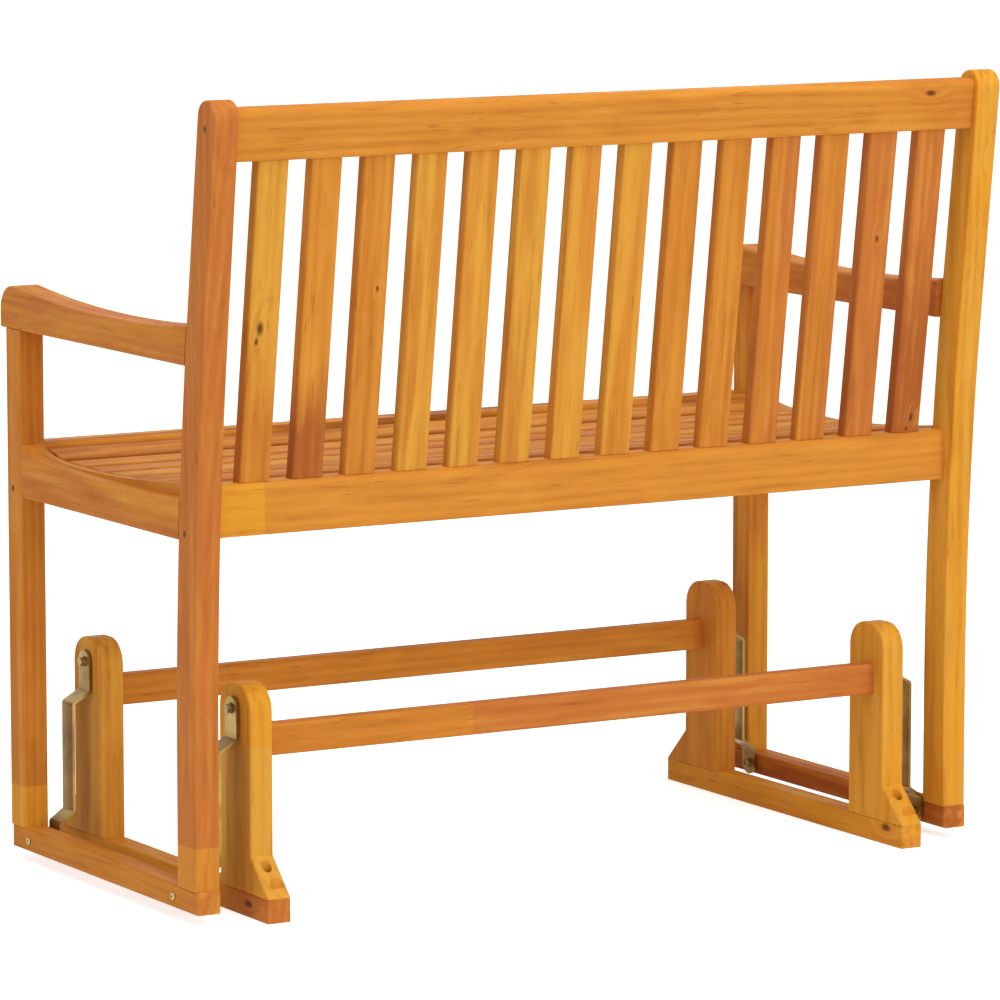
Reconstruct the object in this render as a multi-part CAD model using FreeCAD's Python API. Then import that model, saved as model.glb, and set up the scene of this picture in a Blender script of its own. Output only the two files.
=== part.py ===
"""Glider bench: a slatted two-seat bench that hangs on four steel links from a low base.

Millimetres and degrees. X runs along the bench, the sitter faces -Y, and Z is up from the floor.
The origin is on the floor, under the middle of the whole bench at rest.
"""
import FreeCAD, Part
import math
import os
from FreeCAD import Vector

os.makedirs("parts", exist_ok=True)

# Whole bench
bench_width = 1100.0
bench_height = 979.0
pivot_centre_y = -17.54
side_bar = 33.0
wood_easing = 3.0
joint_gap = 0.2
overlap = 1.0
tiny = 0.01

# Links and their pivots
pivot_span = 391.7
link_length = 219.65
link_width = 29.0
link_steel = 3.5
link_upper_bend = 36.5
link_lower_bend = 20.5
link_bend_rise = 13.5
link_bend_radius = 4.0
link_strap_out = 2.2
link_gap = 50.0
running_gap = 0.05
side_gap = 0.3
lower_pivot_z = 28.1

# Base frames and stretchers
base_bar = 31.0
base_rail_height = 29.2
upright_width = 78.0
upright_above_pivot = 30.0
upright_corner = 32.0
flare_reach = 44.0
flare_height = 44.5
flare_tip = 1.0
foot_tenon = (14.0, 40.0, 15.0)
stretcher_height = 38.6
stretcher_thickness = 22.0
stretcher_below_pivot = 20.55
stretcher_outset = 6.5
stretcher_tenon = (18.0, 10.0, 25.0)

# Round cuts in the flared feet
foot_bore_radius = 6.5
foot_bore_out = 10.75
foot_bore_floor = 45.0
foot_notch_radius = 11.3
foot_notch_out = 34.5
foot_notch_floor = 39.5
foot_notch_shift = -5.0

# Bench side frames
bottom_rail_height = 27.8
rail_front_overhang = 47.0
rail_back_overhang = 58.9
leg_front_step = 4.5
leg_depth = 39.8
leg_tenon = (14.0, 22.0, 14.0)
post_setback = 1.8
post_foot_depth = 47.7
post_bend_height = 455.0
post_back_recline = 6.93
post_front_recline = 7.3
post_bend = 4150.0
post_corner = 21.0

# Armrests
arm_bottom = 665.0
arm_front_reach = 15.5
arm_width = 40.0
arm_front_depth = 56.6
arm_waist_depth = 38.8
arm_waist_back = 292.2
arm_sweep = 2400.0
arm_nose = 30.0
arm_tenon = (14.0, 22.0, 22.0)
arm_rear_tenon = (16.0, 12.0, 22.0)

# Seat frame
seat_rail_bottom = 457.5
seat_rail_tenon = (12.0, 10.0, 24.0)
seat_level = 506.8
seat_low_back = 137.0
seat_dish = 2200.0
seat_curl = 12.0
seat_curl_length = 19.0
seat_rail_level = 503.4
seat_rail_low_back = 247.0
seat_rail_dish = 4470.0
seat_rail_rebate = 18.0
front_rail_thickness = 22.0
front_rail_setback = 5.2
rear_rail_setback = 8.4
rear_rail_thickness = 30.0
rear_rail_bottom = 460.8
rear_rail_height = 62.7
rear_rail_nose = 8.5
cross_tenon = (15.0, 10.0, 24.0)
cross_tenon_rise = 27.0
bearer_width = 33.0

# Slats, seat and back from one stock
slat_width = 41.0
slat_thickness = 18.0
slat_easing = 3.0
seat_slat_count = 8
seat_slat_pitch = 55.0
seat_slat_tenon = (12.0, 28.0, 9.0)
front_slat_reach = 6.25
front_slat_top = 523.2
front_slat_nose = 5.0
front_slat_heel = 7.0
front_slat_tenon = (12.0, 20.0, 9.0)
back_slat_count = 14
back_slat_end_gap = 34.61
back_slat_tenon = (30.0, 10.0, 11.0)

# Back
back_recline = 7.9
slat_foot_ledge = 5.3
slat_free_length = 388.2
top_rail_height = 61.8
top_rail_thickness = 26.0
top_rail_round = 8.0
top_rail_tenon = (15.0, 10.0, 34.0)

# Pivot bolts
bolt_radius = 3.0
bolt_across = 10.0
bolt_head = 4.5
bolt_end = 2.0
bolt_hole_gap = 0.15
pivot_bite = 26.0
button_radius = 4.8
button_height = 2.5
washer_radius = 6.5
washer_steel = 1.5
nut_height = 5.2
nut_gap = 0.02

# Wood screws
screw_radius = 2.0
screw_head_radius = 4.2
screw_head = 3.0
screw_gap = 0.1
foot_screw_length = 34.0
sole_screw_length = 45.0
sole_screw_depth = 8.0
sole_screw_in = 28.0
frame_screw_length = 80.0
frame_screw_rise = 9.0
top_screw_rise = 38.0
screw_head_sink = 0.6
slat_screw_length = 30.0
slat_screw_bite = 10.0
front_slat_screw_in = 177.0

# Places that follow from the sizes
half_width = bench_width / 2
inner_x = half_width - side_bar
base_x = inner_x - link_gap
base_inner_x = base_x - base_bar
pivot_y = {"front": pivot_centre_y - pivot_span / 2, "back": pivot_centre_y + pivot_span / 2}
bottom_rail_z = lower_pivot_z - bottom_rail_height / 2
bottom_rail_top = bottom_rail_z + bottom_rail_height
upper_pivot_z = lower_pivot_z + link_length
rail_front_y = pivot_y["front"] - rail_front_overhang
rail_back_y = pivot_y["back"] + rail_back_overhang
leg_front_y = rail_front_y - leg_front_step
leg_back_y = leg_front_y + leg_depth
leg_middle_y = leg_front_y + leg_depth / 2
side_middle_x = half_width - side_bar / 2
back_slat_pitch = (2 * (inner_x - back_slat_end_gap) - slat_width) / (back_slat_count - 1)
sides = {"left": 1, "right": -1}
ends = {"front": -1, "back": 1}
along_x, up = Vector(1, 0, 0), Vector(0, 0, 1)

parts = {}


def block(x, y, z):
    """A box between two limits on each axis, given in either order."""
    low = Vector(min(x), min(y), min(z))
    return Part.makeBox(abs(x[1] - x[0]), abs(y[1] - y[0]), abs(z[1] - z[0]), low)


def rod(start, axis, radius, length):
    return Part.makeCylinder(radius, length, start, axis)


def fillet(shape, radius, wanted):
    return shape.makeFillet(radius, [edge for edge in shape.Edges if wanted(edge)])


def runs_along(edge, axis):
    """True for a straight edge parallel to the axis."""
    span = edge.Vertexes[-1].Point - edge.Vertexes[0].Point
    return len(edge.Vertexes) == 2 and abs(abs(span.dot(axis)) - edge.Length) < tiny


def bar(x, y, z, axis, easing=wood_easing):
    """A straight bar with its four long edges eased."""
    return fillet(block(x, y, z), easing, lambda edge: runs_along(edge, axis))


def outline(corners, place):
    """Edges of a closed outline. Each corner is (a, b, radius); place turns (a, b) into a point."""
    points = [place(a, b) for a, b, radius in corners]
    edges, starts, stops = [], [], []
    for i, (a, b, radius) in enumerate(corners):
        back = (points[i - 1] - points[i]).normalize()
        ahead = (points[(i + 1) % len(points)] - points[i]).normalize()
        reach = radius / math.tan(back.getAngle(ahead) / 2) if radius else 0.0
        starts.append(points[i] + back * reach)
        stops.append(points[i] + ahead * reach)
        if radius:
            inwards = (back + ahead).normalize()
            nearest = points[i] + inwards * (math.hypot(radius, reach) - radius)
            edges.append(Part.Arc(starts[i], nearest, stops[i]).toShape())
    for stop, start in zip(stops, starts[1:] + starts[:1]):
        edges.append(Part.LineSegment(stop, start).toShape())
    return edges


def side_outline(x, corners):
    """Outline edges in the plane at x, from corners (y, z, radius)."""
    return outline(corners, lambda y, z: Vector(x, y, z))


def solid(edges, direction):
    """The solid swept by a flat closed outline."""
    return Part.Face(Part.Wire(Part.__sortEdges__(edges))).extrude(direction)


def plate(x, edges):
    """A solid between two X limits, from outline edges drawn at the first one."""
    return solid(edges, Vector(x[1] - x[0], 0, 0))


def ease_sides(shape, x, butt=lambda middle: False):
    """Ease the edges of the two side faces, but not those of the ends that butt on another piece."""
    def wanted(edge):
        middle = edge.valueAt((edge.FirstParameter + edge.LastParameter) / 2)
        flat = any(all(abs(v.X - limit) < tiny for v in edge.Vertexes) for limit in x)
        return flat and not butt(middle)
    return fillet(shape, wood_easing, wanted)


def lean(shape, angle, y, z):
    """Lean a piece made at the origin towards +Y, then move it to (y, z)."""
    shape = shape.copy()
    shape.rotate(Vector(0, 0, 0), along_x, -angle)
    shape.translate(Vector(0, y, z))
    return shape


def about(x, y, z, size):
    """Limits of a tenon of (x, y, z) size about a place. A place given as a range keeps its limits."""
    return [place if isinstance(place, tuple) else (place - length / 2, place + length / 2)
            for place, length in zip((x, y, z), size)]


def joined(receiver, member, limits, move=lambda shape: shape):
    """Cut a mortise in the receiver and add the tenon to the member."""
    mortise = [(min(pair) - joint_gap, max(pair) + joint_gap) for pair in limits]
    return receiver.cut(move(block(*mortise))), member.fuse(move(block(*limits)))


# Side lines of the back post: upright at the foot, then bent back on a large radius
post_back_y = rail_back_y - post_setback
post_foot_y = post_back_y - post_foot_depth


def top_y(foot_y, recline):
    """Y at the top of the bench on a line that leaves the upright at the bend height."""
    return foot_y + (bench_height - post_bend_height) * math.tan(math.radians(recline))


def post_front_y(z):
    """Y of the post's front face at height z, on the round part of its bend."""
    bend_start = post_bend_height - post_bend * math.tan(math.radians(post_front_recline / 2))
    return post_foot_y + post_bend - math.sqrt(post_bend ** 2 - (z - bend_start) ** 2)


def post_plate(x):
    """The back post before its edges are eased."""
    corners = [(post_foot_y, bottom_rail_top, 0), (post_back_y, bottom_rail_top, 0),
               (post_back_y, post_bend_height, post_bend),
               (top_y(post_back_y, post_back_recline), bench_height, post_corner),
               (top_y(post_foot_y, post_front_recline), bench_height, post_corner),
               (post_foot_y, post_bend_height, post_bend)]
    return plate(x, side_outline(x[0], corners))


# Line of the back slats
rear_rail_back_y = rail_back_y - rear_rail_setback
rear_rail_middle_y = rear_rail_back_y - rear_rail_thickness / 2
rear_rail_top = rear_rail_bottom + rear_rail_height
slat_half_depth = slat_thickness / 2 / math.cos(math.radians(back_recline))
slat_foot_y = rear_rail_back_y - slat_foot_ledge - slat_half_depth


def in_back(shape):
    """Move a piece made in the back's own frame, whose Z runs up the slats from their feet."""
    return lean(shape, back_recline, slat_foot_y, rear_rail_top)


def dished(y, level, low_back, dish):
    """Height at y of a hollow line with a curl behind the front legs."""
    behind = y - leg_back_y
    return level + (behind - low_back) ** 2 / (2 * dish) + seat_curl * math.exp(-behind / seat_curl_length)


def seat_height(y):
    """Height of the seat at y. It is lowest towards the front and rises to the back."""
    return dished(y, seat_level, seat_low_back, seat_dish)


def seat_rail_height(y):
    """Height of the outer edge of the side rails at y."""
    return dished(y, seat_rail_level, seat_rail_low_back, seat_rail_dish)


def seat_slat_places():
    """Y, height of the top and slope of each seat slat behind the front one."""
    front_y = leg_front_y - front_slat_reach + slat_width / 2
    for i in range(1, seat_slat_count):
        y = front_y + i * seat_slat_pitch
        fore, aft = seat_height(y - slat_width / 2), seat_height(y + slat_width / 2)
        yield y, (fore + aft) / 2, math.degrees(math.atan2(aft - fore, slat_width))


def foot_cuts(x, outer_y, e):
    """The screw bore and the round notch in one flared foot."""
    bore = rod(Vector(x, outer_y + e * foot_bore_out, foot_bore_floor), up, foot_bore_radius, flare_height)
    notch = rod(Vector(x + foot_notch_shift, outer_y + e * foot_notch_out, foot_notch_floor), up,
                foot_notch_radius, flare_height)
    return [bore, notch]


def upright_with_foot(x, centre_y, e):
    """One base upright, with rounded shoulders and a flared foot towards the end e."""
    inner_y, outer_y = centre_y - e * upright_width / 2, centre_y + e * upright_width / 2
    tip_y, tip_z = outer_y + e * flare_reach, base_rail_height + flare_tip
    top = upper_pivot_z + upright_above_pivot
    corners = [(inner_y, base_rail_height, 0), (tip_y, base_rail_height, 0), (tip_y, tip_z, 0),
               (outer_y, base_rail_height + flare_height, 0),
               (outer_y, top, upright_corner), (inner_y, top, upright_corner)]
    shape = plate(x, side_outline(x[0], corners))
    shape = ease_sides(shape, x, butt=lambda middle: middle.z < tip_z)
    return shape.cut(foot_cuts(sum(x) / 2, outer_y, e))


def foot_screw_places(s, centre_y, e):
    """Seat, direction and length of the two screws that hold an upright on its base rail."""
    x = s * (base_x + base_inner_x) / 2
    outer_y = centre_y + e * upright_width / 2
    yield Vector(x, outer_y + e * foot_bore_out, foot_bore_floor), -up, foot_screw_length
    yield Vector(x, centre_y - e * sole_screw_in, sole_screw_depth), up, sole_screw_length


def base_frames():
    reach = upright_width / 2 + flare_reach
    for side, s in sides.items():
        x = (s * base_x, s * base_inner_x)
        rail = block(x, (pivot_y["front"] - reach, pivot_y["back"] + reach), (0, base_rail_height))
        rail = ease_sides(rail, x, butt=lambda middle: middle.z < tiny)
        for end, e in ends.items():
            upright = upright_with_foot(x, pivot_y[end], e)
            limits = about(sum(x) / 2, pivot_y[end],
                           (base_rail_height - foot_tenon[2], base_rail_height + overlap), foot_tenon)
            rail, upright = joined(rail, upright, limits)
            for start, axis, length in foot_screw_places(s, pivot_y[end], e):
                rail, upright = bored([rail, upright], start, axis, length)
            face = Vector(s * (base_x + overlap), pivot_y[end], upper_pivot_z)
            depth = pivot_bite + 2 * overlap
            upright = upright.cut(rod(face, along_x * -s, bolt_radius + bolt_hole_gap, depth))
            parts["upright_%s_%s" % (end, side)] = upright
        parts["base_rail_" + side] = rail


def bored(shapes, start, axis, length):
    """Cut a screw's shank hole and the open recess of its head out of some shapes."""
    shank = rod(start, axis, screw_radius + screw_gap, length + screw_gap)
    recess = rod(start, -axis, screw_head_radius + screw_gap, slat_width)
    return [shape.cut([shank, recess]) for shape in shapes]


def screw(start, axis, length):
    """A round-headed wood screw: the head seats at the start and the shank runs along the axis."""
    head = rod(start - axis * screw_head, axis, screw_head_radius, screw_head)
    head = rounded_end(head, start - axis * screw_head, screw_head / 2)
    return head.fuse(rod(start, axis, screw_radius, length))


def rounded_end(shape, centre, radius):
    """Round the circular edge that has the given centre."""
    return fillet(shape, radius, lambda edge: isinstance(edge.Curve, Part.Circle)
                  and (edge.Curve.Center - centre).Length < tiny)


def foot_screws():
    group = [screw(*place) for s in sides.values() for end, e in ends.items()
             for place in foot_screw_places(s, pivot_y[end], e)]
    parts["base_foot_screws"] = Part.makeCompound(group)


def cross_piece(name, piece, tenon, y, z, carriers, face_x=inner_x, move=lambda shape: shape):
    """Tenon both ends of a cross piece into the pair of pieces that carry it."""
    for side, s in sides.items():
        limits = about((s * (face_x - overlap), s * (face_x + tenon[0])), y, z, tenon)
        carrier = carriers + "_" + side
        parts[carrier], piece = joined(parts[carrier], piece, limits, move)
    parts[name] = piece


def stretchers():
    top = upper_pivot_z - stretcher_below_pivot
    z = (top - stretcher_height, top)
    half = stretcher_thickness / 2
    for end, e in ends.items():
        y = pivot_y[end] + e * stretcher_outset
        piece = bar((-base_inner_x, base_inner_x), (y - half, y + half), z, along_x)
        cross_piece("base_stretcher_" + end, piece, stretcher_tenon, y, sum(z) / 2, "upright_" + end,
                    base_inner_x)


def bottom_rails():
    for side, s in sides.items():
        x = (s * inner_x, s * half_width)
        rail = ease_sides(block(x, (rail_front_y, rail_back_y), (bottom_rail_z, bottom_rail_top)), x)
        for y in pivot_y.values():
            face = Vector(s * (inner_x - overlap), y, lower_pivot_z)
            rail = rail.cut(rod(face, along_x * s, bolt_radius + bolt_hole_gap, side_bar + 2 * overlap))
        parts["bottom_rail_" + side] = rail


def legs_and_posts():
    foot_z = (bottom_rail_top - leg_tenon[2], bottom_rail_top + overlap)
    for side, s in sides.items():
        x = (s * inner_x, s * half_width)
        leg = bar(x, (leg_front_y, leg_back_y), (bottom_rail_top, arm_bottom), up)
        post = ease_sides(post_plate(x), x, butt=lambda middle: middle.z < bottom_rail_top + tiny)
        rail = parts["bottom_rail_" + side]
        rail, leg = joined(rail, leg, about(sum(x) / 2, leg_middle_y, foot_z, leg_tenon))
        post_middle_y = post_back_y - post_foot_depth / 2
        rail, post = joined(rail, post, about(sum(x) / 2, post_middle_y, foot_z, leg_tenon))
        parts.update({"bottom_rail_" + side: rail, "front_leg_" + side: leg, "back_post_" + side: post})


def over_line(x, height):
    """The space above a seat line, to cut the tops of pieces that follow it."""
    ends_y = (leg_back_y, rail_back_y)
    stations = [ends_y[0] + i * (ends_y[1] - ends_y[0]) / slat_width for i in range(int(slat_width) + 1)]
    curve = Part.BSplineCurve()
    curve.interpolate([Vector(x[0], y, height(y)) for y in stations])
    corners = [Vector(x[0], y, z) for y, z in ((stations[-1], height(stations[-1])),
                                               (stations[-1], arm_bottom), (stations[0], arm_bottom),
                                               (stations[0], height(stations[0])))]
    edges = [Part.LineSegment(a, b).toShape() for a, b in zip(corners, corners[1:])]
    return plate(x, edges + [curve.toShape()])


def seat_side_rails():
    """Side rails with a rebate along their outer top edge, tenoned into the leg and the post."""
    top_z = max(seat_height(leg_back_y), seat_height(post_back_y)) + overlap
    middle_z = (seat_rail_bottom + seat_level) / 2
    post_y = post_front_y(middle_z)
    for side, s in sides.items():
        x = (s * inner_x, s * half_width)
        rail = block(x, (leg_back_y, post_back_y), (seat_rail_bottom, top_z)).cut(over_line(x, seat_height))
        rebate = sorted((s * (half_width - seat_rail_rebate), s * (half_width + overlap)))
        rail = rail.cut(over_line(rebate, seat_rail_height))
        ends_y = (leg_back_y + tiny, post_back_y - tiny)
        rail = ease_sides(rail, x, butt=lambda middle: not ends_y[0] < middle.y < ends_y[1])
        rail = rail.cut(post_plate(x))
        for carrier, y in (("front_leg_", (leg_back_y - seat_rail_tenon[1], leg_back_y + overlap)),
                           ("back_post_", (post_y - 3 * overlap, post_y + seat_rail_tenon[1]))):
            limits = about(sum(x) / 2, y, middle_z, seat_rail_tenon)
            parts[carrier + side], rail = joined(parts[carrier + side], rail, limits)
        parts["seat_side_rail_" + side] = rail


def arm_blank(x, front_y, waist):
    """An armrest before its edges are eased: flat below, hollow above, with a round nose."""
    sweep_centre = (waist[0], waist[1] + arm_sweep)
    nose_y = front_y + arm_nose
    reach = arm_sweep + arm_nose
    nose_z = sweep_centre[1] - math.sqrt(reach ** 2 - (nose_y - sweep_centre[0]) ** 2)
    turn = math.atan2(sweep_centre[0] - nose_y, sweep_centre[1] - nose_z)

    def on_nose(angle):
        return Vector(x[0], nose_y - arm_nose * math.sin(angle), nose_z + arm_nose * math.cos(angle))
    joint, front, half = on_nose(-turn), on_nose(math.pi / 2), on_nose(math.pi / 5)
    back = post_back_y - sweep_centre[0]
    rear = Vector(x[0], post_back_y, sweep_centre[1] - math.sqrt(arm_sweep ** 2 - back ** 2))
    corners = [front, Vector(x[0], front_y, arm_bottom), Vector(x[0], post_back_y, arm_bottom), rear]
    edges = [Part.LineSegment(a, b).toShape() for a, b in zip(corners, corners[1:])]
    edges.append(Part.Arc(rear, Vector(x[0], *waist), joint).toShape())
    edges.append(Part.Arc(joint, half, front).toShape())
    return plate(x, edges)


def armrests():
    front_y = leg_front_y - arm_front_reach
    waist = (front_y + arm_waist_back, arm_bottom + arm_waist_depth)
    rear_z = arm_bottom + arm_waist_depth / 2
    rear_y = post_front_y(rear_z)
    for side, s in sides.items():
        x = (s * (half_width - arm_width), s * half_width)
        arm = arm_blank(x, front_y, waist)
        arm = ease_sides(arm, x, butt=lambda middle: middle.y > post_back_y - tiny).cut(post_plate(x))
        leg, post = parts["front_leg_" + side], parts["back_post_" + side]
        limits = about(s * side_middle_x, leg_middle_y, (arm_bottom - overlap, arm_bottom + arm_tenon[2]),
                       arm_tenon)
        arm, leg = joined(arm, leg, limits)
        limits = about(s * side_middle_x, (rear_y - 4 * overlap, rear_y + arm_rear_tenon[1]), rear_z,
                       arm_rear_tenon)
        post, arm = joined(post, arm, limits)
        parts.update({"armrest_" + side: arm, "front_leg_" + side: leg, "back_post_" + side: post})


def cross_rails():
    """The rails between the legs and posts that carry the seat and the back."""
    x = (-inner_x, inner_x)
    tenon_z = seat_rail_bottom + cross_tenon_rise
    y = (leg_front_y + front_rail_setback, leg_front_y + front_rail_setback + front_rail_thickness)
    rail = bar(x, y, (seat_rail_bottom, front_slat_top - slat_thickness), along_x, wood_easing / 2)
    cross_piece("front_seat_rail", rail, cross_tenon, sum(y) / 2, tenon_z, "front_leg")
    y = (rear_rail_back_y - rear_rail_thickness, rear_rail_back_y)
    rail = block(x, y, (rear_rail_bottom, rear_rail_top))
    rail = fillet(rail, rear_rail_nose, lambda edge: runs_along(edge, along_x)
                  and edge.Vertexes[0].Y > y[1] - tiny and edge.Vertexes[0].Z > rear_rail_top - tiny)
    rail = fillet(rail, wood_easing / 2, lambda edge: runs_along(edge, along_x)
                  and edge.Vertexes[0].Z < rear_rail_bottom + tiny)
    cross_piece("rear_seat_rail", rail, cross_tenon, rear_rail_middle_y, tenon_z, "back_post")
    z = (slat_free_length, slat_free_length + top_rail_height)
    half = top_rail_thickness / 2
    rail = bar(x, (-half, half), (z[0], z[1] + overlap), along_x, wood_easing / 2)
    rail = rail.cut(block(x, (-half, half), (z[1], z[1] + overlap)))
    rail = fillet(rail, top_rail_round, lambda edge: runs_along(edge, along_x)
                  and edge.Vertexes[0].Z > z[1] - tiny)
    cross_piece("top_back_rail", in_back(rail), top_rail_tenon, 0, sum(z) / 2, "back_post", move=in_back)


def back_slats():
    """Upright slats with a tenon in the rear seat rail and one in the top rail."""
    half = slat_thickness / 2
    under_foot = block((-half_width, half_width), (-half_width, half_width), (0, rear_rail_top))
    for i in range(back_slat_count):
        x = ((back_slat_count - 1) / 2 - i) * back_slat_pitch
        slat = bar((x - slat_width / 2, x + slat_width / 2), (-half, half), (-half, slat_free_length), up,
                   slat_easing)
        slat = in_back(slat).cut(under_foot)
        foot = about(x, 0, (-back_slat_tenon[2], half), back_slat_tenon)
        head = about(x, 0, (slat_free_length - overlap, slat_free_length + back_slat_tenon[2]),
                     back_slat_tenon)
        parts["rear_seat_rail"], slat = joined(parts["rear_seat_rail"], slat, foot, in_back)
        parts["top_back_rail"], slat = joined(parts["top_back_rail"], slat, head, in_back)
        parts["back_slat_%02d" % (i + 1)] = slat


def front_slat():
    """The front slat lies on the front rail, between the legs."""
    y = leg_front_y - front_slat_reach
    slat = block((-inner_x, inner_x), (y, y + slat_width), (front_slat_top - slat_thickness, front_slat_top))
    slat = fillet(slat, front_slat_nose, lambda edge: runs_along(edge, along_x)
                  and edge.Vertexes[0].Z > front_slat_top - tiny and edge.Vertexes[0].Y < y + tiny)
    slat = fillet(slat, front_slat_heel, lambda edge: runs_along(edge, along_x)
                  and edge.Vertexes[0].Z > front_slat_top - tiny and edge.Vertexes[0].Y > y + slat_width - tiny)
    cross_piece("seat_slat_1", slat, front_slat_tenon, leg_middle_y, front_slat_top - slat_thickness / 2,
                "front_leg")


def seat_slats():
    """The other seat slats lie between the side rails, flush with their tops."""
    half = slat_width / 2
    for i, (y, z, slope) in enumerate(seat_slat_places()):
        slat = bar((-inner_x, inner_x), (-half, half), (-slat_thickness, 0), along_x, slat_easing)
        cross_piece("seat_slat_%d" % (i + 2), lean(slat, -slope, y, z), seat_slat_tenon, 0,
                    -slat_thickness / 2, "seat_side_rail",
                    move=lambda shape: lean(shape, -slope, y, z))


def slat_screw_places():
    """Slat name, seat of the head and carrier of each screw that holds a seat slat from below."""
    down = slat_thickness - slat_screw_bite + slat_screw_length
    y = leg_front_y + front_rail_setback + front_rail_thickness / 2
    for x in (front_slat_screw_in - inner_x, 0, inner_x - front_slat_screw_in):
        yield "seat_slat_1", Vector(x, y, front_slat_top - down), "front_seat_rail"
    for i, (y, z, slope) in enumerate(seat_slat_places()):
        yield "seat_slat_%d" % (i + 2), Vector(0, y, z - down), "seat_bearer"


def seat_bearer():
    """Middle bearer under the seat. Its top touches the underside of every slat behind the front one."""
    x = (-bearer_width / 2, bearer_width / 2)
    front_y = leg_front_y + front_rail_setback + front_rail_thickness
    back_y = rear_rail_back_y - rear_rail_thickness
    under_front_slat = front_slat_top - slat_thickness
    corners = [(back_y, seat_rail_bottom, 0), (front_y, seat_rail_bottom, 0), (front_y, under_front_slat, 0),
               (leg_front_y - front_slat_reach + slat_width, under_front_slat, 0)]
    for y, z, slope in seat_slat_places():
        turn = math.radians(slope)
        for edge in (-slat_width / 2, slat_width / 2):
            corners.append((y + edge * math.cos(turn) + slat_thickness * math.sin(turn),
                            z + edge * math.sin(turn) - slat_thickness * math.cos(turn), 0))
    corners.append((back_y, corners[-1][1], 0))
    parts["seat_bearer"] = plate(x, side_outline(x[0], corners))


def slat_screws():
    group = []
    for slat, start, carrier in slat_screw_places():
        parts[slat], parts[carrier] = bored([parts[slat], parts[carrier]], start, up, slat_screw_length)
        group.append(screw(start, up, slat_screw_length))
    parts["seat_slat_screws"] = Part.makeCompound(group)


def frame_screws():
    """Long screws through the legs and posts into the ends of the cross rails."""
    front_y = leg_front_y + front_rail_setback + front_rail_thickness / 2
    low_z = seat_rail_bottom + frame_screw_rise
    top = in_back(Part.Vertex(0, 0, slat_free_length + top_screw_rise)).Point
    group = []
    for side, s in sides.items():
        for carrier, rail, y, z in (("front_leg_", "front_seat_rail", front_y, low_z),
                                    ("back_post_", "rear_seat_rail", rear_rail_middle_y, low_z),
                                    ("back_post_", "top_back_rail", top.y, top.z)):
            start, inwards = Vector(s * (half_width - screw_head_sink - screw_head), y, z), along_x * -s
            name = carrier + side
            parts[name], parts[rail] = bored([parts[name], parts[rail]], start, inwards, frame_screw_length)
            group.append(screw(start, inwards, frame_screw_length))
    parts["frame_screws"] = Part.makeCompound(group)


def bent_strap(line, y):
    """A flat strap of the link's width, bent along a line of (x, z) points with round bends."""
    half = link_steel / 2
    normals = []
    for (x0, z0), (x1, z1) in zip(line, line[1:]):
        normals.append(Vector(z0 - z1, x1 - x0, 0).normalize())
    faces = []
    for sign in (1, -1):
        face = []
        for i, (x, z) in enumerate(line):
            before, after = normals[max(i - 1, 0)], normals[min(i, len(normals) - 1)]
            middle = (before + after).normalize()
            shift = middle * (sign * half / middle.dot(before))
            turn = before.cross(after).z * sign
            radius = link_bend_radius - half if turn > tiny else link_bend_radius + half
            face.append((x + shift.x, z + shift.y, radius if abs(turn) > tiny else 0))
        faces.append(face)
    corners = faces[0] + faces[1][::-1]
    edges = outline(corners, lambda x, z: Vector(x, y - link_width / 2, z))
    return solid(edges, Vector(0, link_width, 0))


def eye(x, y, z, radius):
    """A cylinder across the whole gap between a base frame and a side frame."""
    return rod(Vector(x[0], y, z), Vector(x[1] - x[0], 0, 0), radius, abs(x[1] - x[0]))


def links():
    """Steel straps, bent outwards twice, from an upright's outer face to a bottom rail's inner face."""
    off = washer_steel + side_gap + link_steel / 2
    upper_x, lower_x = base_x + off, inner_x - off
    middle_x = (upper_x + lower_x) / 2 + link_strap_out
    top, bottom = upper_pivot_z + link_width / 2, lower_pivot_z - link_width / 2
    upper_bend, lower_bend = upper_pivot_z - link_upper_bend, lower_pivot_z + link_lower_bend
    line = [(upper_x, top), (upper_x, upper_bend), (middle_x, upper_bend - link_bend_rise),
            (middle_x, lower_bend + link_bend_rise), (lower_x, lower_bend), (lower_x, bottom)]
    for side, s in sides.items():
        x = (s * base_x, s * inner_x)
        for end, y in pivot_y.items():
            half = link_width / 2
            shape = bent_strap([(s * a, b) for a, b in line], y)
            ends_cut = block(x, (y - half, y + half), (lower_pivot_z, upper_pivot_z))
            for z in (upper_pivot_z, lower_pivot_z):
                ends_cut = ends_cut.fuse(eye(x, y, z, half))
            shape = shape.common(ends_cut)
            for z in (upper_pivot_z, lower_pivot_z):
                shape = shape.cut(eye(x, y, z, bolt_radius + running_gap))
            parts["link_%s_%s" % (end, side)] = shape


def hexagon(start, axis, height):
    """A hexagonal bolt head or nut along X, with the corners of its outer face turned off."""
    radius = bolt_across / math.sqrt(3)
    corners = [Vector(0, radius * math.cos(math.radians(60 * k)), radius * math.sin(math.radians(60 * k)))
               for k in range(7)]
    prism = Part.Face(Part.makePolygon([start + corner for corner in corners])).extrude(axis * height)
    return prism.common(Part.makeCone(radius + height, bolt_across / 2, height, start, axis))


def washer(start, axis):
    return rod(start, axis, washer_radius, washer_steel).cut(
        rod(start, axis, bolt_radius + bolt_hole_gap, washer_steel))


def nut(start, axis):
    return hexagon(start, axis, nut_height).cut(rod(start, axis, bolt_radius + nut_gap, nut_height))


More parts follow.
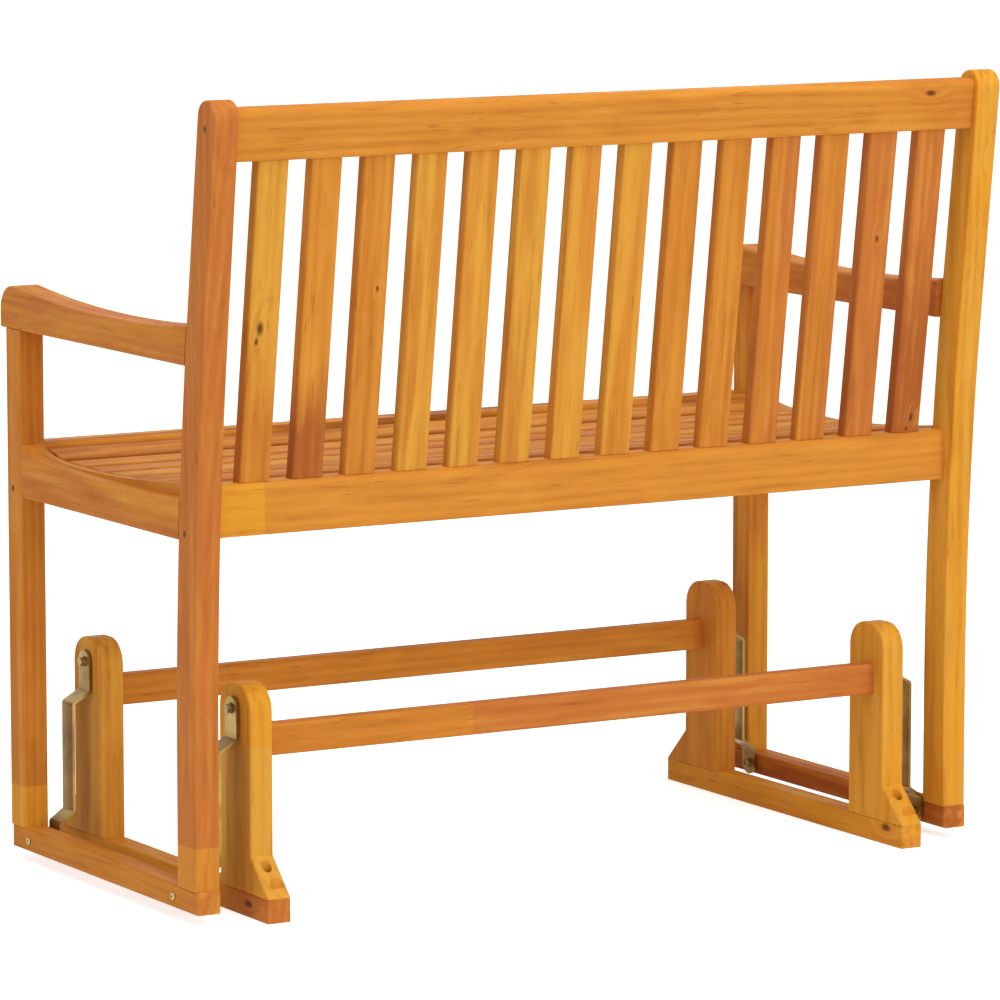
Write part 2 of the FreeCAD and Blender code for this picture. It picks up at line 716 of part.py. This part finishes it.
def pivots():
    """Bolts and washers of the upper pivots, in the base, and those of the lower ones with their nuts."""
    stack = washer_steel + link_steel + 2 * side_gap
    upper = {"bolts": [], "washers": []}
    lower = {"bolts": [], "washers": [], "nuts": []}
    for s in sides.values():
        out = along_x * s
        for y in pivot_y.values():
            face = Vector(s * base_x, y, upper_pivot_z)
            head = face + out * (stack + washer_steel)
            shank = rod(head, -out, bolt_radius, stack + washer_steel + pivot_bite)
            upper["bolts"].append(hexagon(head, out, bolt_head).fuse(shank))
            upper["washers"] += [washer(face, out), washer(face + out * stack, out)]
            outer, inner = (Vector(s * x, y, lower_pivot_z) for x in (half_width, inner_x))
            seat = inner - out * (stack + washer_steel)
            length = (outer - seat).Length + nut_height + bolt_end
            button = rounded_end(rod(outer, out, button_radius, button_height), outer + out * button_height,
                                 button_height - overlap)
            lower["bolts"].append(button.fuse(rod(outer, -out, bolt_radius, length)))
            lower["washers"] += [washer(inner, -out), washer(inner - out * stack, -out)]
            lower["nuts"].append(nut(seat, -out))
    for level, group in (("upper", upper), ("lower", lower)):
        for kind, shapes in group.items():
            parts["%s_pivot_%s" % (level, kind)] = Part.makeCompound(shapes)


base_frames()
foot_screws()
stretchers()
bottom_rails()
legs_and_posts()
seat_side_rails()
armrests()
cross_rails()
back_slats()
front_slat()
seat_slats()
seat_bearer()
slat_screws()
frame_screws()
links()
pivots()

for name, shape in parts.items():
    shape.exportStep("parts/%s.step" % name)
whole = Part.makeCompound(list(parts.values())).optimalBoundingBox(False, False)
print("%d nodes, %.1f x %.1f x %.1f, middle y %.2f, bottom %.2f" % (
    len(parts), whole.XLength, whole.YLength, whole.ZLength, (whole.YMin + whole.YMax) / 2, whole.ZMin))
faulty = [name for name, shape in parts.items() if not shape.isValid() or not shape.Solids]
print("faulty:", faulty)
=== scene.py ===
"""Looks of the glider bench: oiled acacia, yellow zinc steel, and the photograph's camera and light."""
import math

import bmesh
import bpy
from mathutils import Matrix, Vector


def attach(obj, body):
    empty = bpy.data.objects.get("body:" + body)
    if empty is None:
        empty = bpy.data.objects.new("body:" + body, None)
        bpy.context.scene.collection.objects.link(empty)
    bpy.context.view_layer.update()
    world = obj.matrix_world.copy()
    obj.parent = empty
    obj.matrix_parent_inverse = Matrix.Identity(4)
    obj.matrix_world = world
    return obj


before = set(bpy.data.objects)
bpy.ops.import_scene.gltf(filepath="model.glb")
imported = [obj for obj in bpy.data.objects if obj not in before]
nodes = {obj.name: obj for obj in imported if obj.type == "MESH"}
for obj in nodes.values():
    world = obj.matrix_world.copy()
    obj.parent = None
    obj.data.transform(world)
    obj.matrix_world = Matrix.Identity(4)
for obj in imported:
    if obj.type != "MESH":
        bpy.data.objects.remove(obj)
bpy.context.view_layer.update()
scene = bpy.context.scene
mm = 0.001


def linear(colour):
    """A hex sRGB colour as linear red, green, blue and alpha."""
    values = [int(colour[i:i + 2], 16) / 255 for i in (1, 3, 5)]
    return [v / 12.92 if v <= 0.04045 else ((v + 0.055) / 1.055) ** 2.4 for v in values] + [1.0]


def blended(one, other, share):
    """A linear colour that is a share of the way from one hex colour to another."""
    return [a + (b - a) * share for a, b in zip(linear(one), linear(other))]


def add(tree, kind, inputs=None, **settings):
    """Adds a node with its settings and gives its outputs. An input takes a value or another node's output."""
    node = tree.nodes.new(kind)
    for name, value in settings.items():
        setattr(node, name, value)
    for socket, value in (inputs or {}).items():
        if isinstance(value, bpy.types.NodeSocket):
            tree.links.new(value, node.inputs[socket])
        else:
            node.inputs[socket].default_value = value
    return node.outputs


def new_material(name):
    """A new material, its node tree and its surface shader."""
    material = bpy.data.materials.new(name)
    material.use_nodes = True
    tree = material.node_tree
    shader = next(node for node in tree.nodes if node.type == "BSDF_PRINCIPLED")
    return material, tree, shader


def ramp(tree, value, stops):
    """A colour ramp over a value, from (position, linear colour) stops in rising order."""
    outputs = add(tree, "ShaderNodeValToRGB", {"Fac": value})
    elements = outputs[0].node.color_ramp.elements
    for position, colour in stops[1:-1]:
        elements.new(position).color = colour
    for element, (position, colour) in ((elements[0], stops[0]), (elements[-1], stops[-1])):
        element.position, element.color = position, colour
    return outputs["Color"]


def share_ramp(tree, value, stops):
    """A ramp that gives a share over a value, from (position, share) stops in rising order."""
    return ramp(tree, value, [(position, [share, share, share, 1.0]) for position, share in stops])


def dress(node, finish):
    """Gives a CAD node its only material."""
    node.data.materials.clear()
    node.data.materials.append(finish)


# Acacia, planed, sanded and oiled. The eye sees soft honey and red clouds drawn out along the grain, faint fibres,
# short dark flecks, and a few brown knots with the grain bent round them.
tones = {
    "straw": "#DE9F3C", "gold": "#E0992E", "honey": "#D58A33", "amber": "#CE8130",
    "copper": "#C67535", "russet": "#AE602C", "umber": "#84471F",
}
heartwood, sapwood, fleck_colour, knot_core = "#96501F", "#EBB04C", "#8C4A20", "#5E3219"
# Patterns of the grain: length along it and width across it in mm, detail, and how much they wander. The fibres
# are drawn coarser than real ones, so that they show.
patterns = {
    "streaks": (210.0, 9.0, 3.0, 0.5), "clouds": (120.0, 22.0, 3.0, 0.8), "bands": (380.0, 24.0, 2.0, 0.6),
    "fibres": (34.0, 1.2, 2.0, 0.0), "flecks": (60.0, 4.0, 2.0, 0.8),
}
# Growth rings: their spacing in mm, how far they are drawn out along the grain, and how much they wander
ring_spacing, ring_draw, ring_wander = 12.0, 0.06, 7.0
# The middle of the rings lies outside each board, this far off in metres across the grain, give or take the drift
pith_y, pith_z, pith_drift = 0.055, 0.045, 0.03
# Share of each pattern in the figure, which runs from dark lines to pale ones
streak_share, cloud_share, ring_share, fibre_share = 0.34, 0.42, 0.09, 0.15
# Place on the figure, the colour that a tone leans to there, and how far
wood_stops = [(0.33, heartwood, 0.45), (0.43, heartwood, 0.16), (0.52, sapwood, 0.0), (0.65, sapwood, 0.26)]
# Where the second tone's bands, the flecks and a knot's rim come in, and how strongly
band_stops, fleck_stops = [(0.45, 0.0), (0.60, 0.8)], [(0.64, 0.0), (0.76, 0.45)]
knot_stops = [(0.55, 0.9), (0.8, 0.35), (1.0, 0.0)]
# A knot's length against its width, how far around it the grain bends, and how much, in radii of the knot
knot_stretch, knot_reach, knot_push, knot_raggedness = 2.0, 3.2, 1.6, 0.5
# The oil soaks in, so the wood is nearly matt, and the open dark grain is a little rougher than the pale
figure_low, figure_high, dark_roughness, pale_roughness = 0.35, 0.62, 0.58, 0.44
fibre_relief, grain_relief, grain_depth = 0.6, 0.3, 0.2
oil_ior, oil_gloss = 1.46, 0.05
# Turns that bring the grain of a piece along x, y or z to the patterns' own x, in degrees
grain_turns = {"x": (0, 0, 0), "y": (0, 0, -90), "z": (0, 90, 0)}
# Steps that give each piece its own part of the patterns
piece_steps = (0.6180, 0.7548, 0.5698)


def acacia(name, grain, lean, first, second, seed, knots=(), change=None):
    """The wood of one piece: grain direction, lean in degrees, two tones, knots and a change of tone."""
    material, tree, shader = new_material("oiled_acacia_" + name)

    def math_node(operation, *values):
        return add(tree, "ShaderNodeMath", dict(enumerate(values)), operation=operation)[0]

    def vector_node(operation, *values):
        return add(tree, "ShaderNodeVectorMath", dict(enumerate(values)), operation=operation)

    def mixed(share, one, other):
        return add(tree, "ShaderNodeMix", {"Factor": share, 6: one, 7: other}, data_type="RGBA")[2]

    def in_range(value, low, high, at_low, at_high, **settings):
        return add(tree, "ShaderNodeMapRange", {"Value": value, "From Min": low, "From Max": high, "To Min": at_low,
                                                "To Max": at_high}, **settings)["Result"]

    place = add(tree, "ShaderNodeTexCoord")["Object"]
    offset = [((seed * step) % 1.0 - 0.5) * 2.0 for step in piece_steps]
    grown = add(tree, "ShaderNodeMapping", {
        "Vector": place, "Rotation": [math.radians(a + b) for a, b in zip(grain_turns[grain], (lean, 0, 0))],
        "Location": (offset[0], pith_y + pith_drift * offset[1], pith_z + pith_drift * offset[2])})["Vector"]
    knot_distances = []
    for x, y, z, radius in knots:
        away = vector_node("SUBTRACT", place, (x * mm, y * mm, z * mm))[0]
        squeeze = [1 / knot_stretch if grain == axis else 1.0 for axis in "xyz"]
        scaled = vector_node("MULTIPLY", away, [k / (radius * mm) for k in squeeze])[0]
        distance = vector_node("LENGTH", scaled)["Value"]
        knot_distances.append(distance)
        near = in_range(distance, knot_reach, 0.0, 0.0, radius * mm * knot_push, interpolation_type="SMOOTHERSTEP")
        push = add(tree, "ShaderNodeCombineXYZ", {"Y": near, "Z": near})["Vector"]
        grown = vector_node("ADD", grown, push)[0]

    def pattern(kind):
        length, width, detail, wander = patterns[kind]
        stretched = vector_node("MULTIPLY", grown, (1 / (length * mm), 1 / (width * mm), 1 / (width * mm)))[0]
        return add(tree, "ShaderNodeTexNoise", {"Vector": stretched, "Scale": 1.0, "Detail": detail,
                                                "Roughness": 0.5, "Distortion": wander})["Fac"]

    clouds, fibres = pattern("clouds"), pattern("fibres")
    drawn_out = vector_node("MULTIPLY", grown, (ring_draw, 1.0, 1.0))[0]
    # The wave texture repeats every 2 pi / 20 at a scale of 1
    rings = add(tree, "ShaderNodeTexWave", {
        "Vector": drawn_out, "Scale": 2 * math.pi / (20 * ring_spacing * mm), "Distortion": ring_wander,
        "Detail": 2.0, "Detail Scale": 0.6}, wave_type="RINGS", rings_direction="X", wave_profile="SIN")["Fac"]
    figure = math_node("MULTIPLY", pattern("streaks"), streak_share)
    for part, share in ((clouds, cloud_share), (rings, ring_share), (fibres, fibre_share)):
        figure = math_node("MULTIPLY_ADD", part, share, figure)

    def wood(tone):
        return ramp(tree, figure, [(at, blended(tone, towards, share)) for at, towards, share in wood_stops])

    if change:
        axis, start, end, waviness = change
        along = add(tree, "ShaderNodeSeparateXYZ", {"Vector": place})[axis.upper()]
        wavy = math_node("MULTIPLY_ADD", clouds, waviness * mm, along)
        middle = waviness * mm / 2
        second_share = in_range(wavy, start * mm + middle, end * mm + middle, 0.0, 1.0)
    else:
        second_share = share_ramp(tree, pattern("bands"), band_stops)
    colour = mixed(second_share, wood(tones[first]), wood(tones[second]))
    colour = mixed(share_ramp(tree, pattern("flecks"), fleck_stops), colour, linear(fleck_colour))
    for distance in knot_distances:
        rim = math_node("MULTIPLY_ADD", clouds, knot_raggedness, distance)
        colour = mixed(share_ramp(tree, rim, knot_stops), colour, linear(knot_core))
    tree.links.new(colour, shader.inputs["Base Color"])
    roughness = in_range(figure, figure_low, figure_high, dark_roughness, pale_roughness)
    tree.links.new(roughness, shader.inputs["Roughness"])
    relief = math_node("MULTIPLY_ADD", fibres, fibre_relief, figure)
    bump = add(tree, "ShaderNodeBump", {"Height": relief, "Strength": grain_relief, "Distance": grain_depth * mm})
    tree.links.new(bump["Normal"], shader.inputs["Normal"])
    shader.inputs["IOR"].default_value = oil_ior
    shader.inputs["Specular IOR Level"].default_value = oil_gloss
    return material


# Mild steel, punched, bent and plated with yellow zinc: olive gold, dull, with cloudy patches and a fine grit.
# Cloud and grit size in mm, the cloud values between which the colour and the roughness turn, and the grit's relief.
zinc_cloud, zinc_grit = 30.0, 0.8
zinc_colour_turn, zinc_roughness_turn = (0.36, 0.64), (0.3, 0.7)
grit_relief, grit_depth = 0.15, 0.05


def plated(name, pale, deep, smooth, rough):
    """Zinc plate from a pale and a deep colour, and from a smooth and a rough roughness."""
    material, tree, shader = new_material("yellow_zinc_" + name)
    place = add(tree, "ShaderNodeTexCoord")["Object"]
    clouds = add(tree, "ShaderNodeTexNoise", {"Vector": place, "Scale": 1 / (zinc_cloud * mm), "Detail": 3.0})["Fac"]
    grit = add(tree, "ShaderNodeTexNoise", {"Vector": place, "Scale": 1 / (zinc_grit * mm), "Detail": 2.0})["Fac"]
    colour = ramp(tree, clouds, list(zip(zinc_colour_turn, (linear(deep), linear(pale)))))
    tree.links.new(colour, shader.inputs["Base Color"])
    shader.inputs["Metallic"].default_value = 1.0
    low, high = zinc_roughness_turn
    roughness = add(tree, "ShaderNodeMapRange", {"Value": clouds, "From Min": low, "From Max": high,
                                                 "To Min": rough, "To Max": smooth})["Result"]
    tree.links.new(roughness, shader.inputs["Roughness"])
    bump = add(tree, "ShaderNodeBump", {"Height": grit, "Strength": grit_relief, "Distance": grit_depth * mm})
    tree.links.new(bump["Normal"], shader.inputs["Normal"])
    return material


# Grain direction and tones of each wooden piece. The second tone comes in bands, or where the tone changes.
woods = {
    "base_rail_left": ("y", "gold", "copper"), "base_rail_right": ("y", "gold", "honey"),
    "base_stretcher_back": ("x", "amber", "copper"), "base_stretcher_front": ("x", "honey", "amber"),
    "upright_back_left": ("z", "gold", "straw"), "upright_back_right": ("z", "gold", "straw"),
    "upright_front_left": ("z", "straw", "honey"), "upright_front_right": ("z", "honey", "amber"),
    "bottom_rail_left": ("y", "honey", "copper"), "bottom_rail_right": ("y", "amber", "russet"),
    "front_leg_left": ("z", "amber", "gold"), "front_leg_right": ("z", "amber", "gold"),
    "back_post_left": ("z", "copper", "honey"), "back_post_right": ("z", "gold", "straw"),
    "seat_side_rail_left": ("y", "honey", "copper"), "seat_side_rail_right": ("y", "honey", "amber"),
    "armrest_left": ("y", "copper", "honey"), "armrest_right": ("y", "copper", "amber"),
    "top_back_rail": ("x", "honey", "amber"), "rear_seat_rail": ("x", "honey", "gold"),
    "front_seat_rail": ("x", "amber", "honey"), "seat_bearer": ("y", "amber", "honey"),
    "seat_slat_1": ("x", "honey", "umber"), "seat_slat_2": ("x", "honey", "russet"),
    "seat_slat_3": ("x", "amber", "honey"), "seat_slat_4": ("x", "copper", "honey"),
    "seat_slat_5": ("x", "honey", "straw"), "seat_slat_6": ("x", "amber", "copper"),
    "seat_slat_7": ("x", "honey", "amber"), "seat_slat_8": ("x", "copper", "amber"),
}
# Back slats from the sitter's left to the right
slat_tones = [("straw", "amber"), ("honey", "russet"), ("amber", "honey"), ("straw", "amber"), ("honey", "straw"),
              ("straw", "amber"), ("honey", "straw"), ("honey", "straw"), ("amber", "honey"), ("amber", "honey"),
              ("copper", "amber"), ("amber", "copper"), ("copper", "russet"), ("copper", "russet")]
for i, pair in enumerate(slat_tones):
    woods["back_slat_%02d" % (i + 1)] = ("z", *pair)
# The back slats' grain leans with them, in degrees
back_lean = 7.9
# Knots as x, y, z and radius in mm
knots = {
    "back_slat_01": [(467, 249, 708, 8.5), (471, 247, 692, 4.5)], "back_slat_03": [(313, 255, 747, 3.5)],
    "back_slat_13": [(-393, 258, 773, 4.0)], "back_slat_14": [(-468, 226, 542, 5.0), (-462, 224, 528, 3.5)],
    "top_back_rail": [(-452, 287, 953, 6.5)],
    "back_post_right": [(-536, 281, 868, 4.5), (-550, 228, 486, 6.0)],
    "base_rail_left": [(467, 212, 16, 8.0)], "base_rail_right": [(-436, 226, 22, 9.0)],
}
# Pieces whose tone changes along their length: axis, where the change starts and ends, and how wavy it is, in mm.
# A change over 2 mm that isn't wavy is a glued joint in the board.
changes = {
    "back_slat_01": ("z", 730, 600, 60), "back_slat_02": ("z", 660, 580, 60), "back_slat_14": ("z", 800, 640, 60),
    "base_rail_left": ("y", 120, 200, 60), "top_back_rail": ("x", -400, -450, 60),
    "back_post_left": ("z", 95, 93, 0), "front_leg_left": ("z", 95, 93, 0), "rear_seat_rail": ("x", 450, 452, 0),
    "base_stretcher_back": ("x", 150, 148, 0), "upright_back_left": ("z", 206, 204, 0),
}
for seed, (name, (grain, first, second)) in enumerate(sorted(woods.items()), start=1):
    lean = back_lean if name.startswith("back_slat") else 0
    dress(nodes[name], acacia(name, grain, lean, first, second, seed, knots.get(name, ()), changes.get(name)))

link_steel = plated("links", "#A98C50", "#8E7038", 0.3, 0.4)
bolt_steel = plated("bolts", "#B8A674", "#8F7B4A", 0.3, 0.45)
screw_steel = plated("screws", "#8A7543", "#5F4E2C", 0.45, 0.6)
for name, node in nodes.items():
    if name not in woods:
        dress(node, link_steel if name.startswith("link") else screw_steel if name.endswith("screws") else bolt_steel)

# Hexagon sockets in the heads of screws and lower pivot bolts: the solids' heads are plain, so a socket is a thin
# hexagon insert a hair proud of its head, coloured dark brown as painted shade for the hollow. Sizes in mm.
socket_across, socket_depth, socket_proud = 3.0, 0.6, 0.03
# Painted shade: the sockets' near-black brown stands for the shade deep in a hollow, not for the plate's own colour
socket_shade_paint = plated("socket_painted_shade", "#3B3122", "#2B2419", 0.5, 0.6)
fasteners = {"base": ["base_foot_screws"], "bench": ["frame_screws", "lower_pivot_bolts", "seat_slat_screws"]}
# Points of a solid nearer than this are one, and a head's width is looked for this near to an end, in mm
same_point, head_zone = 0.01, 3.0


def build_socket_tree():
    """Geometry Nodes that put a hexagon prism on each point, turned to the point's facing."""
    tree = bpy.data.node_groups.new("head_sockets", "GeometryNodeTree")
    for name, kind in (("Heads", "Geometry"), ("Corner radius", "Float"), ("Depth", "Float"), ("Finish", "Material")):
        tree.interface.new_socket(name=name, in_out="INPUT", socket_type="NodeSocket" + kind)
    tree.interface.new_socket(name="Sockets", in_out="OUTPUT", socket_type="NodeSocketGeometry")
    given = add(tree, "NodeGroupInput")
    facing = add(tree, "GeometryNodeInputNamedAttribute", {"Name": "facing"}, data_type="FLOAT_VECTOR")["Attribute"]
    turn = add(tree, "FunctionNodeAlignRotationToVector", {"Vector": facing}, axis="Z")["Rotation"]
    prism = add(tree, "GeometryNodeMeshCylinder", {"Vertices": 6, "Radius": given["Corner radius"],
                                                   "Depth": given["Depth"]})["Mesh"]
    placed = add(tree, "GeometryNodeInstanceOnPoints", {"Points": given["Heads"], "Instance": prism,
                                                        "Rotation": turn})["Instances"]
    real = add(tree, "GeometryNodeRealizeInstances", {"Geometry": placed})["Geometry"]
    finished = add(tree, "GeometryNodeSetMaterial", {"Geometry": real, "Material": given["Finish"]})["Geometry"]
    add(tree, "NodeGroupOutput", {"Sockets": finished})
    return tree


def separate_solids(name):
    """The points of each solid of a node, in the order of its mesh."""
    mesh = bmesh.new()
    mesh.from_mesh(nodes[name].data)
    bmesh.ops.remove_doubles(mesh, verts=mesh.verts, dist=same_point * mm)
    mesh.verts.index_update()
    found = set()
    for start in mesh.verts:
        if start.index in found:
            continue
        found.add(start.index)
        solid, waiting = [], [start]
        while waiting:
            vertex = waiting.pop()
            solid.append(vertex.co.copy())
            for other in (edge.other_vert(vertex) for edge in vertex.link_edges):
                if other.index not in found:
                    found.add(other.index)
                    waiting.append(other)
        yield solid
    mesh.free()


def head_of(solid):
    """Middle of a fastener's head face and the way it faces: the wider end of its longest axis."""
    low = Vector([min(point[i] for point in solid) for i in range(3)])
    high = Vector([max(point[i] for point in solid) for i in range(3)])
    axis = max(range(3), key=lambda i: high[i] - low[i])
    middle = (low + high) / 2

    def width(end):
        return max(((point - middle).length_squared - (point[axis] - middle[axis]) ** 2
                    for point in solid if abs(point[axis] - end) < head_zone * mm), default=0.0)

    head_is_high = width(high[axis]) > width(low[axis])
    facing = Vector((0.0, 0.0, 0.0))
    facing[axis] = 1.0 if head_is_high else -1.0
    face = middle.copy()
    face[axis] = high[axis] if head_is_high else low[axis]
    return face, facing


socket_tree = build_socket_tree()
socket_sizes = {"Corner radius": socket_across / math.sqrt(3) * mm, "Depth": socket_depth * mm,
                "Finish": socket_shade_paint}
for body, carriers in fasteners.items():
    heads = [head_of(solid) for name in carriers for solid in separate_solids(name)]
    sunk = (socket_depth / 2 - socket_proud) * mm
    points = bpy.data.meshes.new(body + "_head_points")
    points.from_pydata([face - facing * sunk for face, facing in heads], [], [])
    directions = points.attributes.new("facing", "FLOAT_VECTOR", "POINT")
    for value, (face, facing) in zip(directions.data, heads):
        value.vector = facing
    piece = bpy.data.objects.new(body + "_head_sockets", points)
    scene.collection.objects.link(piece)
    modifier = piece.modifiers.new("socket_painted_shade", "NODES")
    modifier.node_group = socket_tree
    for item in socket_tree.interface.items_tree:
        if item.name in socket_sizes:
            modifier[item.identifier] = socket_sizes[item.name]
    graph = bpy.context.evaluated_depsgraph_get()
    finished = bpy.data.meshes.new_from_object(piece.evaluated_get(graph))
    piece.modifiers.remove(modifier)
    piece.data = finished
    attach(piece, body)

# Camera on the photograph's line of sight, from a fit of its edges: place in metres, and the lens against the
# sensor's width
camera_place = Vector((3.7066, 6.3425, 1.4633))
camera_yaw, camera_pitch = math.radians(30.3254), math.radians(7.9065)
focal_to_width = 5.935
camera = bpy.data.objects.new("camera", bpy.data.cameras.new("camera"))
scene.collection.objects.link(camera)
camera.location = camera_place
sight = Vector((-math.sin(camera_yaw) * math.cos(camera_pitch), -math.cos(camera_yaw) * math.cos(camera_pitch),
                -math.sin(camera_pitch)))
camera.rotation_euler = sight.to_track_quat("-Z", "Y").to_euler()
camera.data.lens = focal_to_width * camera.data.sensor_width
scene.camera = camera


def seen_directly(tree):
    """1 for what the camera sees itself or in a reflection, and 0 for light on the object."""
    path = add(tree, "ShaderNodeLightPath")
    return add(tree, "ShaderNodeMath", {0: path["Is Camera Ray"], 1: path["Is Glossy Ray"]}, operation="MAXIMUM")[0]


# Studio floor of matt white paper: lit plainly, and lifted towards white for the camera, so that it keeps the
# soft shadow
floor_size, floor_roughness, floor_lift = 60.0, 0.9, 0.65
floor_mesh = bmesh.new()
bmesh.ops.create_grid(floor_mesh, x_segments=1, y_segments=1, size=floor_size / 2)
floor_data = bpy.data.meshes.new("floor")
floor_mesh.to_mesh(floor_data)
floor_mesh.free()
floor = bpy.data.objects.new("floor", floor_data)
scene.collection.objects.link(floor)
material, tree, shader = new_material("white_floor")
shader.inputs["Base Color"].default_value = linear("#F2F2F2")
shader.inputs["Roughness"].default_value = floor_roughness
shader.inputs["Emission Color"].default_value = linear("#FFFFFF")
lift = add(tree, "ShaderNodeMath", {0: seen_directly(tree), 1: floor_lift}, operation="MULTIPLY")[0]
tree.links.new(lift, shader.inputs["Emission Strength"])
floor.data.materials.append(material)

# White surroundings, which light the object less than they show
surround_light = 0.52
world = bpy.data.worlds.new("studio")
scene.world = world
world.use_nodes = True
tree = world.node_tree
background = next(node for node in tree.nodes if node.type == "BACKGROUND")
level = add(tree, "ShaderNodeMapRange", {"Value": seen_directly(tree), "To Min": surround_light, "To Max": 1.0})
background.inputs["Color"].default_value = linear("#FFFFFF")
tree.links.new(level["Result"], background.inputs["Strength"])

# Soft square lamps: name, place and target in metres, side in metres, power in watts
lamps = [
    ("back_key", (-1.6, 4.6, 2.2), (0, 0, 0.5), 2.5, 74),
    ("top_fill", (0.3, 1.2, 4.2), (0, 0, 0.4), 2.5, 78),
    ("side_fill", (4.2, 1.2, 1.6), (0, 0, 0.5), 2.0, 22),
]
for name, place, target, side, power in lamps:
    light = bpy.data.lights.new(name, "AREA")
    light.size, light.energy = side, power
    lamp = bpy.data.objects.new(name, light)
    lamp.location = place
    lamp.rotation_euler = (Vector(target) - Vector(place)).to_track_quat("-Z", "Y").to_euler()
    scene.collection.objects.link(lamp)

scene.view_settings.view_transform = "Standard"
